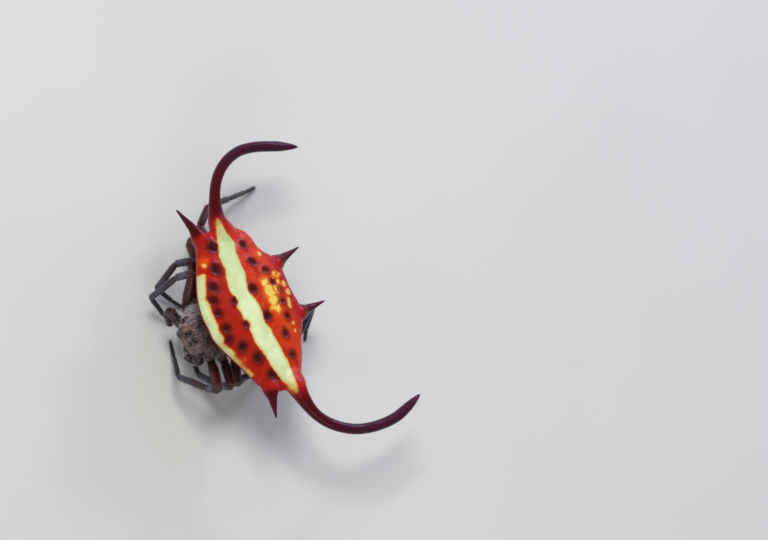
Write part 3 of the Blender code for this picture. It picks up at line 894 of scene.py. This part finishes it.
class SPIDER_OT_legs(bpy.types.Operator):
    """Model the eight jointed legs in their stances"""

    bl_idname = "spider.legs"
    bl_label = "Legs"

    def execute(self, context):
        thickness = context.scene.spider_sizes.leg_thickness
        # the bluish-grey stops (#54566A, #464658) are painted highlights; the other stops are the
        # legs' own dark red and brown
        stops = ((0.2, "#34080A"), (0.38, "#420B0E"), (0.44, "#4A2A2C"), (0.5, "#54566A"),
                 (0.57, "#352222"), (0.66, "#3A323C"), (0.71, "#464658"), (0.77, "#2A2022"),
                 (1.0, "#1C1415"))
        finish = hairy_cuticle("dark_leg_cuticle_and_painted_sheen", stops, 0.38, 0.4, "along")
        for name in LEG_JOINTS:
            solid = bmesh.new()
            layer = solid.verts.layers.float.new("along")
            coxa, *joints = limb_ends(name)
            along = (joints[0] - coxa).normalized()
            start = coxa - along * 0.08
            collar = coxa + along * 0.3
            segment(solid, start, collar, LEG_RADII[0] * thickness, (layer, 0.0, 0.1), 0.0, 0.0)
            ends = [collar, *joints]
            for number, (a, b) in enumerate(zip(ends, ends[1:])):
                first = 0.1 + number * 0.17
                if (name, number) in RED_SEGMENTS:
                    first = RED_PLACE
                radius = LEG_RADII[number + 1] * thickness
                segment(solid, a, b, radius, (layer, first, first + 0.17), LEG_BOWS[number])
            ahead = joints[-1] - joints[-2]
            ahead.z = 0.0
            claws(solid, joints[-1], ahead.normalized(), layer)
            finish_piece(name + "_skin", solid, [finish], (name,))
        return {"FINISHED"}


class SPIDER_OT_mouth(bpy.types.Operator):
    """Model the jaws with their fangs, and the two palps"""

    bl_idname = "spider.mouth"
    bl_label = "Jaws and palps"

    def execute(self, context):
        stops = ((0.0, "#2A1212"), (0.5, "#2E1A18"), (1.0, "#1A0D10"))
        finish = hairy_cuticle("dark_mouth_cuticle", stops, 0.35, 0.4, "along")
        fang = glossy("fang_chitin", "#14060A", 0.15, 0.8)
        for side, word in ((1, "left"), (-1, "right")):
            solid = bmesh.new()
            layer = solid.verts.layers.float.new("along")
            path = smooth_path([(x * side, y, z) for x, y, z in JAW_PATH], len(JAW_RADII))
            sweep(solid, path, JAW_RADII, 20, (layer, [n / 9 for n in range(10)]))
            finish_piece("jaw_" + word, solid, [finish], ("chelicera_" + word,))
            solid = bmesh.new()
            hook = smooth_path([(x * side, y, z) for x, y, z in FANG_PATH], 9)
            sweep(solid, hook, (0.09, 0.085, 0.078, 0.07, 0.06, 0.048, 0.035, 0.022, 0.008),
                  12)
            finish_piece("fang_" + word, solid, [fang])
        for name in PALP_JOINTS:
            ends = limb_ends(name)
            solid = bmesh.new()
            layer = solid.verts.layers.float.new("along")
            for number, (a, b, radius) in enumerate(zip(ends, ends[1:], PALP_RADII)):
                segment(solid, a, b, radius, (layer, number * 0.25, number * 0.25 + 0.25))
            finish_piece(name + "_skin", solid, [finish], (name,))
        return {"FINISHED"}


class SPIDER_OT_spinnerets(bpy.types.Operator):
    """Model the collar and the six spinnerets at the end of the belly"""

    bl_idname = "spider.spinnerets"
    bl_label = "Spinnerets"

    def execute(self, context):
        solid = bmesh.new()
        layer = solid.verts.layers.float.new("along")
        down = (BELLY_END - BELLY_TOP).normalized()
        collar = [BELLY_END + down * run for run in (-0.3, -0.05, 0.1, 0.28, 0.42, 0.5)]
        sweep(solid, collar, (0.62, 0.56, 0.44, 0.46, 0.42, 0.3), 28,
              (layer, (0.2, 0.3, 0.4, 0.5, 0.6, 0.7)))
        side = Vector((1, 0, 0))
        back = down.cross(side)
        for turn, out, radius, length in ((40, 0.2, 0.13, 0.3), (140, 0.2, 0.12, 0.27),
                                          (90, 0.09, 0.07, 0.24)):
            for mirror in (-1, 1):
                bearing = math.radians(turn)
                lean = side * mirror * math.sin(bearing) + back * math.cos(bearing)
                root = BELLY_END + down * 0.42 + lean * out
                end = root + (down + lean * -0.25).normalized() * length
                path = [root.lerp(end, share) for share in (0, 0.3, 0.65, 0.9, 1)]
                sweep(solid, path, [radius * w for w in (1, 1.05, 0.85, 0.6, 0.3)], 12,
                      (layer, (0.6, 0.7, 0.8, 0.9, 1.0)))
        stops = ((0.2, "#3A1812"), (0.6, "#55281A"), (1.0, "#1C0E0C"))
        finish = hairy_cuticle("spinneret_cuticle", stops, 0.45, 0.3, "along")
        finish_piece("spinnerets_skin", solid, [finish], ("spinnerets",),
                     SHIELD_FRAME)
        return {"FINISHED"}


def hair_shape(bend):
    """Points and faces of one thin hair along X that bends toward Z, one unit long."""
    solid = bmesh.new()
    bmesh.ops.create_cone(solid, cap_ends=True, segments=3, radius1=1.0, radius2=0.12,
                          depth=1.0, matrix=Matrix.Translation((0, 0, 0.5)))
    long_edges = [e for e in solid.edges if abs(e.verts[0].co.z - e.verts[1].co.z) > 0.5]
    bmesh.ops.subdivide_edges(solid, edges=long_edges, cuts=1)
    bmesh.ops.triangulate(solid, faces=solid.faces)
    solid.verts.ensure_lookup_table()
    points = np.array([corner.co for corner in solid.verts])
    faces = np.array([[corner.index for corner in face.verts] for face in solid.faces])
    solid.free()
    lift = bend * points[:, 2] ** 2
    return np.column_stack((points[:, 2], points[:, 1], points[:, 0], lift)), faces


def hairs(name, roots, finish, bend=0.0):
    """One mesh of many hairs; a root is place, direction, up, length, radius and uv."""
    points, faces = hair_shape(bend)
    places = []
    patches = []
    for place, ahead, up, length, radius, patch in roots:
        side = up.cross(ahead).normalized()
        up = ahead.cross(side).normalized()
        along = np.outer(points[:, 0] * length, ahead)
        across = np.outer(points[:, 1] * radius, side)
        lift = np.outer(points[:, 2] * radius + points[:, 3] * length, up)
        places.append(np.array(place) + along + across + lift)
        patches.append(np.array(patch) + points[:, (0, 1)] * 0.0015)
    places = np.concatenate(places)
    patches = np.concatenate(patches)
    count = len(roots)
    corners = np.tile(faces.ravel(), count)
    corners += np.repeat(np.arange(count) * len(points), faces.size)
    mesh = bpy.data.meshes.new(name)
    mesh.from_pydata(places.tolist(), [], corners.reshape(-1, 3).tolist())
    mesh.transform(BODY_FRAME)
    bake = mesh.uv_layers.new(name="OFBake")
    bake.data.foreach_set("uv", patches[corners].ravel().astype(np.float32))
    return finish_mesh(mesh, [finish])


class SPIDER_OT_hair(bpy.types.Operator):
    """Lay short pale hair on the head and set fine bristles on legs, palps and jaws"""

    bl_idname = "spider.hair"
    bl_label = "Hair"

    def execute(self, context):
        sizes = context.scene.spider_sizes
        pale = hair_material("pale_felt_hair", "#8E7C80", "#D6CACE")
        dark = hair_material("dark_leg_bristle", "#3C3234", "#8C8488")
        self.head(pale, sizes.head_hairs)
        for name in LEG_JOINTS:
            self.limb(name, limb_ends(name), LEG_RADII[1:], dark, sizes.leg_hairs)
        for name in PALP_JOINTS:
            self.limb(name, limb_ends(name), PALP_RADII, pale, sizes.leg_hairs)
        for side, word in ((1, "left"), (-1, "right")):
            ends = [Vector((x * side, y, z)) for x, y, z in JAW_PATH]
            self.limb("jaw_" + word, ends, JAW_RADII[3::3], dark, sizes.leg_hairs // 3)
        return {"FINISHED"}

    def head(self, finish, count):
        """Hair that lies forward on the head and outward on the thorax, palest in one clump."""
        dice = random.Random(4)
        near = eye_bearings()
        roots = []
        clump = []
        while len(roots) + len(clump) < count:
            bearing = dice.uniform(-math.pi, math.pi)
            along = dice.uniform(-0.96, 0.98)
            ring = math.sqrt(1 - along * along)
            look = Vector((math.sin(bearing) * ring, along, math.cos(bearing) * ring))
            shaggy = look.x < -0.45 and abs(look.y) < 0.6
            bare = dice.uniform(-0.5, 0.25)
            if look.z < -0.15 or (noise.noise(look * 3.5) < bare and not shaggy):
                continue
            if max(look.dot(eye) for eye in near) > EYE_CLEARANCE:
                continue
            place = head_point(look)
            aside = head_point((look + Vector((0.01, 0, 0.004))).normalized()) - place
            forth = head_point((look + Vector((0, 0.01, 0.0))).normalized()) - place
            up = aside.cross(forth).normalized()
            if up.dot(place - Vector((0, -2.7, 2.1))) < 0:
                up = -up
            if up.z > 0.1 and place.z > GROOVES_FROM_Z:
                place += up * head_relief(place)
            flow = Vector((place.x * 0.5, -1.0 if place.y < -2.4 else 0.6, 0.0))
            flow += Vector([dice.uniform(-0.5, 0.5) for axis in range(3)])
            ahead = (flow - up * flow.dot(up)).normalized() + up * dice.uniform(0.12, 0.4)
            length = dice.uniform(0.12, 0.26) * (0.7 if place.y < -3.6 else 1.0)
            length *= 1.3 if shaggy else 1.0
            patch = (bearing / (2 * math.pi) + 0.5, along * 0.5 + 0.5)
            kept = clump if shaggy else roots
            kept.append((place, ahead.normalized(), up, length, HEAD_HAIR_RADIUS, patch))
        hairs("head_hair", roots, finish, 0.15)
        white = hair_material("white_tuft_hair", "#C4B6C2", "#EEE6EC")
        hairs("head_tuft", clump, white, 0.15)

    def limb(self, name, ends, radii, finish, count):
        """Bristles that lean toward the end, on every segment of one limb."""
        dice = random.Random(name)
        lengths = [(after - before).length for before, after in zip(ends, ends[1:])]
        column = dice.uniform(0, 0.88)
        roots = []
        for number in range(count):
            span = dice.choices(range(len(lengths)), lengths)[0]
            share = dice.uniform(0.08, 0.95)
            start, end = ends[span], ends[span + 1]
            along = (end - start).normalized()
            turn = dice.uniform(0, 2 * math.pi)
            side_way = along.orthogonal().normalized()
            up = side_way * math.cos(turn) + along.cross(side_way) * math.sin(turn)
            place = start.lerp(end, share) + up * radii[span] * 0.93
            place.z += math.sin(share * math.pi) * lengths[span] * 0.02
            if place.z < 0.08:
                continue
            ahead = (along + up * dice.uniform(0.35, 0.9)).normalized()
            length = dice.uniform(0.1, 0.24)
            if (place + ahead * length).z < FLOOR_GAP:
                continue
            patch = (column + turn / (2 * math.pi) / 8.2, (span + share) / len(lengths))
            roots.append((place, ahead, up, length, BRISTLE_RADIUS, patch))
        hairs(name + "_bristles", roots, finish, -0.1)


class SPIDER_OT_stage(bpy.types.Operator):
    """Lay the pale floor, set the lights and aim the camera"""

    bl_idname = "spider.stage"
    bl_label = "Stage"

    def execute(self, context):
        scene = context.scene
        floor = bmesh.new()
        bmesh.ops.create_grid(floor, x_segments=1, y_segments=1, size=2.0)
        mesh = to_mesh("floor", floor)
        paper, tree, shader = new_material("pale_paper", 0.9)
        tone = lay(tree, grain(tree, 30.0), 0.3, 0.7, "#DAD8D4", "#D6D4D0")
        tree.links.new(tone, shader.inputs["Base Color"])
        mesh.materials.append(paper)
        ground = add_object("floor", mesh)
        for name, place, size, power, tint in (
            ("key", (-0.16, -0.02, 0.24), 0.12, 0.55, "#FFFFFF"),
            ("fill", (0.2, -0.16, 0.16), 0.16, 0.14, "#FFFFFF"),
            ("sky", (-0.16, 0.24, 0.1), 0.3, 0.2, "#B8C4FF"),
            ("glint", (-0.11, 0.22, 0.12), 0.03, 0.17, "#D4DAFF"),
        ):
            lamp = bpy.data.lights.new(name, "AREA")
            lamp.size = size
            lamp.energy = power
            lamp.color = linear(tint)
            item = add_object(name, lamp)
            item.visible_glossy = name != "key"
            item.location = place
            item.rotation_mode = "QUATERNION"
            item.rotation_quaternion = (-Vector(place)).to_track_quat("-Z", "Y")
        world = bpy.data.worlds.new("studio")
        world.use_nodes = True
        world.node_tree.nodes["Background"].inputs[0].default_value = (*linear("#EDF0F4"), 1)
        world.node_tree.nodes["Background"].inputs[1].default_value = 0.36
        scene.world = world
        scene.view_settings.view_transform = "Standard"
        lens = bpy.data.cameras.new("camera")
        lens.sensor_width = 36.0
        lens.lens = 200.0
        lens.clip_start = 0.001
        lens.clip_end = 10.0
        camera = add_object("camera", lens)
        aim = BODY_FRAME @ CAMERA_AIM
        ahead = Vector((0.0, math.cos(CAMERA_TILT), -math.sin(CAMERA_TILT)))
        level = Vector((1, 0, 0))
        above = level.cross(ahead)
        right = level * CAMERA_ROLL[0] + above * CAMERA_ROLL[1]
        up = above * CAMERA_ROLL[0] - level * CAMERA_ROLL[1]
        turn = Matrix((right.normalized(), up.normalized(), -ahead)).transposed()
        distance = CAMERA_FIELD * METRE * lens.lens / lens.sensor_width
        camera.matrix_world = Matrix.Translation(aim - ahead * distance) @ turn.to_4x4()
        scene.camera = camera
        return {"FINISHED"}


STEPS = ("stage", "shield", "head", "eyes", "legs", "mouth", "spinnerets", "hair")


class SPIDER_PT_panel(bpy.types.Panel):
    """The spider's sizes, colours and pieces"""

    bl_idname = "SPIDER_PT_panel"
    bl_label = "Spiny Orb Weaver"
    bl_space_type = "VIEW_3D"
    bl_region_type = "UI"
    bl_category = "Spider"

    def draw(self, context):
        for group in (context.scene.spider_sizes, context.scene.spider_colours):
            for name in group.bl_rna.properties.keys():
                if name not in ("rna_type", "name"):
                    self.layout.prop(group, name)
        for name in STEPS:
            self.layout.operator("spider." + name)


CLASSES = (
    SpiderSizes, SpiderColours, SPIDER_OT_shield, SPIDER_OT_head, SPIDER_OT_eyes,
    SPIDER_OT_legs, SPIDER_OT_mouth, SPIDER_OT_spinnerets, SPIDER_OT_hair, SPIDER_OT_stage,
    SPIDER_PT_panel,
)


def register():
    """Make the classes and the scene's properties known."""
    for item in CLASSES:
        bpy.utils.register_class(item)
    bpy.types.Scene.spider_sizes = bpy.props.PointerProperty(type=SpiderSizes)
    bpy.types.Scene.spider_colours = bpy.props.PointerProperty(type=SpiderColours)


def unregister():
    """Take the classes and the scene's properties away again."""
    del bpy.types.Scene.spider_colours
    del bpy.types.Scene.spider_sizes
    for item in reversed(CLASSES):
        bpy.utils.unregister_class(item)


def main():
    """Register the add-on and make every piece."""
    register()
    for name in STEPS:
        getattr(bpy.ops.spider, name)()


if __name__ == "__main__":
    main()
